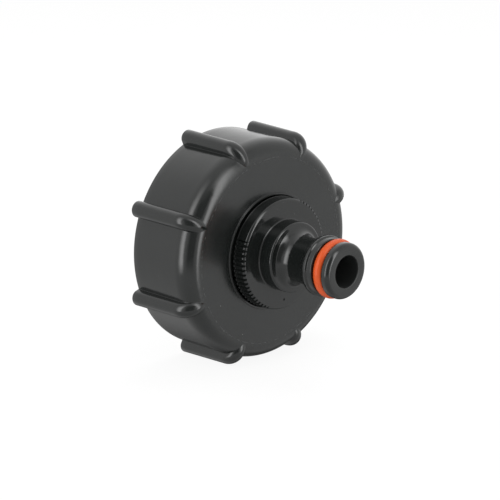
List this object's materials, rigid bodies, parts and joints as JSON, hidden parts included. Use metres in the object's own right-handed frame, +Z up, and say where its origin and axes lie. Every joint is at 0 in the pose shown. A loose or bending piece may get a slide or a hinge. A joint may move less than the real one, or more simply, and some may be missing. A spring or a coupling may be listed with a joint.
{
  "type": "ibc tap adapter",
  "caption": "Ribbed screw cap for a liquid tank's outlet, with a knurled tap connector and click-on hose nose with an orange sealing ring on its front.",
  "frame": {"origin": "bottom centre of the bounding box, under the middle of the adapter's length, with the adapter lying on the back ends of its two lowest grip ribs", "axes": "+Z up, the adapter's axis level along Y as it hangs on a tank's outlet, the hose nose towards -Y and the cap's open threaded end towards +Y"},
  "size_m": [0.07, 0.0538, 0.07],
  "materials": {
    "cap_plastic": "black moulded polypropylene, satin gloss",
    "connector_plastic": "black moulded polypropylene, satin gloss",
    "gasket_rubber": "black flat sealing rubber",
    "washer_rubber": "black flat sealing rubber",
    "ring_rubber": "orange rubber"
  },
  "bodies": {
    "cap": {"threaded_cap": "cap_plastic", "cap_gasket": "gasket_rubber"},
    "washer": {"connector_washer": "washer_rubber"},
    "connector": {"tap_connector": "connector_plastic", "o_ring": "ring_rubber"}
  },
  "joints": [
    {"name": "connector_advance", "type": "slide", "parent": "cap", "child": "washer", "axis": [0, -1, 0], "range_m": [0, 0.0077]},
    {"name": "connector_turn", "type": "hinge", "parent": "washer", "child": "connector", "pos_m": [0, 0.00235, 0.03499], "axis": [0, -1, 0], "range_deg": [0, 1500]}
  ],
  "couplings": [
    {"joint": "connector_advance", "follows": "connector_turn", "m_per_rad": 0.00028871}
  ]
}
